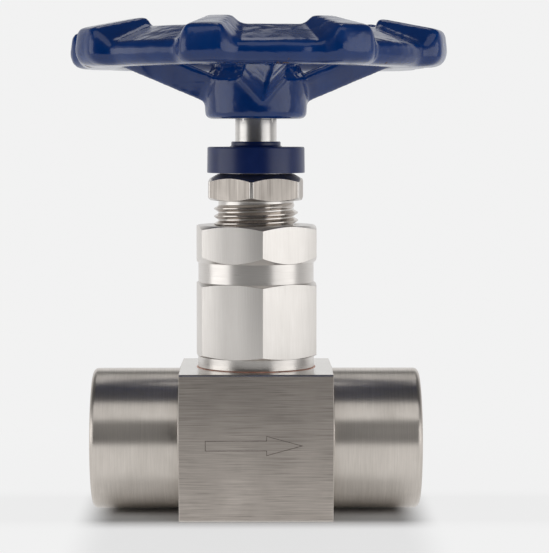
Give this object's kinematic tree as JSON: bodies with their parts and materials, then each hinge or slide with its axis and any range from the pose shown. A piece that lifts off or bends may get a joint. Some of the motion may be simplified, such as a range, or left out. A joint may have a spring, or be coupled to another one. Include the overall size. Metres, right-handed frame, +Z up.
{
  "type": "threaded globe valve",
  "caption": "Threaded globe valve with a square block body, hex bonnet, gland nut, dust cap and a lobed cast handwheel on a rising stem.",
  "frame": {"origin": "centre of the block's underside, on the stem's axis", "axes": "+X along the flow, from inlet to outlet; +Y away from the front face; +Z up the stem"},
  "size_m": [0.0984, 0.0984, 0.1292],
  "materials": {
    "block_steel": "satin, brushed",
    "bonnet_steel": "fine turned",
    "stem_steel": "ground",
    "inner_steel": "turned",
    "ball_steel": "polished",
    "fastener_steel": "bright",
    "gasket_copper": "soft copper",
    "graphite": "pressed graphite",
    "cap_plastic": "satin moulded",
    "wheel_paint": "gloss enamel on cast metal"
  },
  "bodies": {
    "valve_body": {"body": "block_steel", "bonnet_gasket": "gasket_copper", "bonnet": "bonnet_steel", "packing_washer": "inner_steel", "packing_ring_1": "graphite", "packing_ring_2": "graphite", "packing_ring_3": "graphite", "packing_ring_4": "graphite", "packing_ring_5": "graphite", "gland_follower": "inner_steel", "gland_nut": "bonnet_steel", "dust_cap": "cap_plastic"},
    "swivel_plug": {"plug": "inner_steel", "plug_clip": "inner_steel", "thrust_ball": "ball_steel"},
    "stem_and_wheel": {"stem": "stem_steel", "handwheel": "wheel_paint", "wheel_washer": "fastener_steel", "wheel_lock_washer": "fastener_steel", "wheel_nut": "fastener_steel"}
  },
  "joints": [
    {"name": "stem_lift", "type": "slide", "parent": "valve_body", "child": "swivel_plug", "axis": [0, 0, 1], "range_m": [0, 0.006]},
    {"name": "wheel_turn", "type": "hinge", "parent": "swivel_plug", "child": "stem_and_wheel", "pos_m": [0, 0, 0.1033], "axis": [0, 0, 1], "range_deg": [0, 1080]}
  ],
  "couplings": [
    {"joint": "stem_lift", "follows": "wheel_turn", "m_per_rad": 0.0003183}
  ]
}
